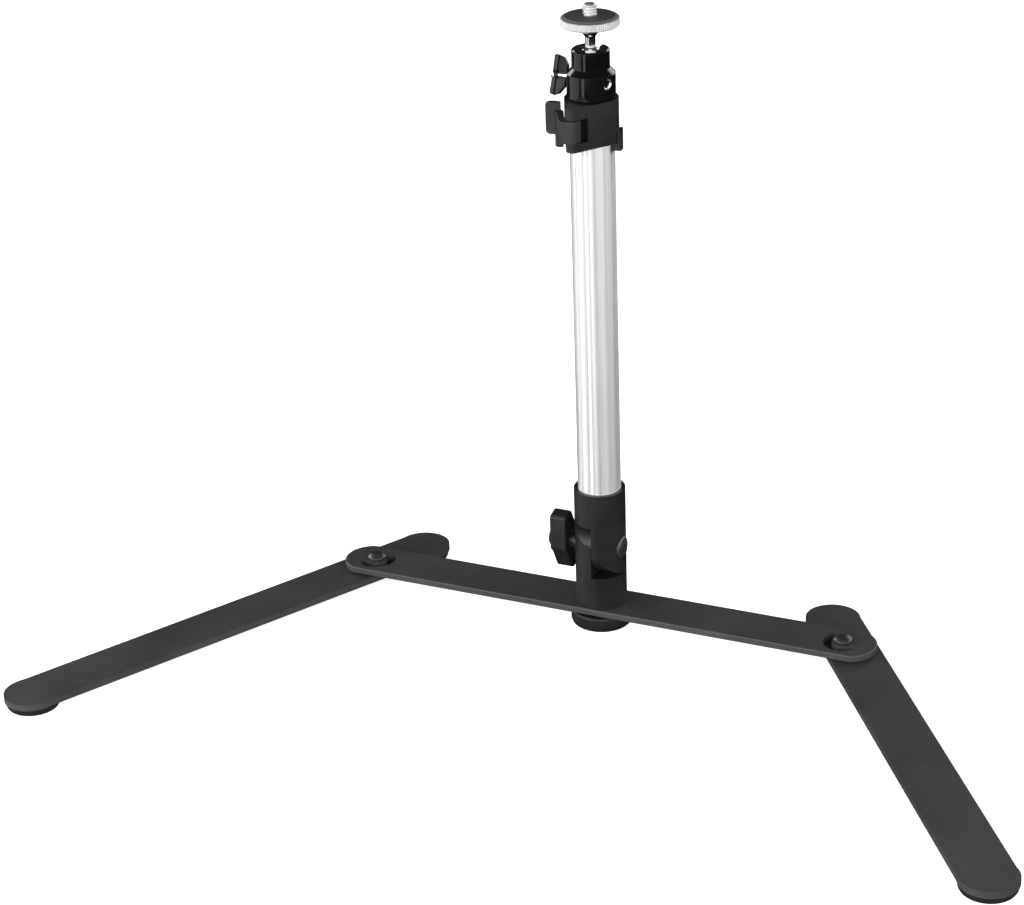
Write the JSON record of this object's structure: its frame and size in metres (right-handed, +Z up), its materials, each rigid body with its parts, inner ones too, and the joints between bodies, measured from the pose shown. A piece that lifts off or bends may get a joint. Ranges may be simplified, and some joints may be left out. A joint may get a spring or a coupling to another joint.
{
  "type": "desk camera stand with ball head",
  "caption": "Folding desk stand: flat cross bar with two swinging legs, tilting telescopic mast with flip lever, and a ball head with a camera screw.",
  "frame": {"origin": "on the floor plane, at the centre of the middle foot's underside", "axes": "+Z up along the mast, +X along the cross bar, the long legs reach towards -Y"},
  "size_m": [0.4654, 0.2237, 0.2994],
  "materials": {
    "charcoal_coat": "fine textured powder coat",
    "rubber_foot": "matt",
    "black_steel": "black oxide, satin",
    "bright_steel": "satin",
    "black_plastic": "fine moulded grain",
    "brass": "plain",
    "natural_nylon": "plain",
    "satin_aluminium": "satin anodised",
    "gloss_black": "gloss black coat",
    "chrome": "polished"
  },
  "bodies": {
    "base": {"crossbar": "charcoal_coat", "left_pivot_bolt": "black_steel", "right_pivot_bolt": "black_steel", "left_pivot_spacer": "black_steel", "right_pivot_spacer": "black_steel", "left_pivot_nut": "bright_steel", "right_pivot_nut": "bright_steel"},
    "left_leg_arm": {"left_leg": "charcoal_coat", "left_front_foot": "rubber_foot", "left_rear_foot": "rubber_foot", "left_stop_pin": "bright_steel"},
    "right_leg_arm": {"right_leg": "charcoal_coat", "right_front_foot": "rubber_foot", "right_rear_foot": "rubber_foot", "right_stop_pin": "bright_steel"},
    "middle_foot": {"middle_knob": "black_plastic", "middle_pad": "rubber_foot", "middle_screw": "bright_steel"},
    "lower_mount": {"lower_knuckle": "black_plastic", "knuckle_insert": "brass"},
    "mast": {"upper_knuckle": "black_plastic", "tilt_bolt": "black_steel", "outer_tube": "satin_aluminium", "clamp_collar": "black_plastic", "lever_pin": "bright_steel"},
    "tilt_feed": {"tilt_washer": "black_steel"},
    "tilt_handle": {"tilt_knob": "black_plastic", "tilt_nut": "bright_steel"},
    "lever": {"clamp_lever": "black_plastic"},
    "shoe": {"clamp_shoe": "black_plastic"},
    "column": {"inner_tube": "satin_aluminium", "slide_bush": "natural_nylon", "tube_plug": "black_plastic", "head_screw": "bright_steel", "head_body": "gloss_black", "set_screw": "black_steel"},
    "wing_feed_pin": {"wing_pin": "chrome"},
    "wing_handle": {"wing_grip": "black_plastic"},
    "seat": {"ball_seat": "natural_nylon"},
    "ball_body": {"ball": "chrome"},
    "stem": {"ball_stem": "chrome"},
    "pad_ring": {"disc_pad": "rubber_foot"},
    "disc": {"clamp_disc": "satin_aluminium"}
  },
  "joints": [
    {"name": "left_leg_swing", "type": "hinge", "parent": "base", "child": "left_leg_arm", "pos_m": [-0.1191, 0, 0.005], "axis": [0, 0, 1], "range_deg": [-46, 57]},
    {"name": "right_leg_swing", "type": "hinge", "parent": "base", "child": "right_leg_arm", "pos_m": [0.1191, 0, 0.005], "axis": [0, 0, 1], "range_deg": [-64, 39]},
    {"name": "middle_foot_turn", "type": "hinge", "parent": "base", "child": "middle_foot", "pos_m": [0, 0, 0], "axis": [0, 0, 1], "range_deg": [-180, 180]},
    {"name": "mast_swivel", "type": "hinge", "parent": "base", "child": "lower_mount", "pos_m": [0, 0, 0.0114], "axis": [0, 0, 1], "range_deg": [-180, 180]},
    {"name": "mast_tilt", "type": "hinge", "parent": "lower_mount", "child": "mast", "pos_m": [0, 0, 0.04], "axis": [1, 0, 0], "range_deg": [-90, 90]},
    {"name": "tilt_knob_feed", "type": "slide", "parent": "mast", "child": "tilt_feed", "axis": [-1, 0, 0], "range_m": [0, 0.001]},
    {"name": "tilt_knob_turn", "type": "hinge", "parent": "tilt_feed", "child": "tilt_handle", "pos_m": [-0.018, 0, 0.04], "axis": [-1, 0, 0], "range_deg": [-360, 0]},
    {"name": "lever_flip", "type": "hinge", "parent": "mast", "child": "lever", "pos_m": [-0.0018, -0.0174, 0.247], "axis": [0, 0, 1], "range_deg": [0, 100]},
    {"name": "shoe_release", "type": "slide", "parent": "mast", "child": "shoe", "axis": [-0.1029, -0.9947, 0], "range_m": [0, 0.0003]},
    {"name": "column_extend", "type": "slide", "parent": "mast", "child": "column", "axis": [0, 0, 1], "range_m": [0, 0.13]},
    {"name": "wing_screw_feed", "type": "slide", "parent": "column", "child": "wing_feed_pin", "axis": [-1, 0, 0], "range_m": [0, 0.0008]},
    {"name": "wing_screw_turn", "type": "hinge", "parent": "wing_feed_pin", "child": "wing_handle", "pos_m": [-0.015, 0, 0.266], "axis": [-1, 0, 0], "range_deg": [-360, 0]},
    {"name": "ball_side_lean", "type": "hinge", "parent": "column", "child": "seat", "pos_m": [0, 0, 0.2749], "axis": [0, 1, 0], "range_deg": [-15, 15]},
    {"name": "ball_fore_aft", "type": "hinge", "parent": "seat", "child": "ball_body", "pos_m": [0, 0, 0.2749], "axis": [1, 0, 0], "range_deg": [-90, 15]},
    {"name": "ball_turn", "type": "hinge", "parent": "ball_body", "child": "stem", "pos_m": [0, 0, 0.2749], "axis": [0, 0, 1], "continuous": true},
    {"name": "disc_lift", "type": "slide", "parent": "stem", "child": "pad_ring", "axis": [0, 0, 1], "range_m": [0, 0.00254]},
    {"name": "disc_turn", "type": "hinge", "parent": "pad_ring", "child": "disc", "pos_m": [0, 0, 0.2915], "axis": [0, 0, 1], "range_deg": [0, 720]}
  ],
  "couplings": [
    {"joint": "tilt_knob_turn", "follows": "tilt_knob_feed", "rad_per_m": -6283.2},
    {"joint": "lever_flip", "follows": "shoe_release", "rad_per_m": 5817.8},
    {"joint": "wing_screw_turn", "follows": "wing_screw_feed", "rad_per_m": -7854},
    {"joint": "disc_turn", "follows": "disc_lift", "rad_per_m": 4947.4}
  ]
}
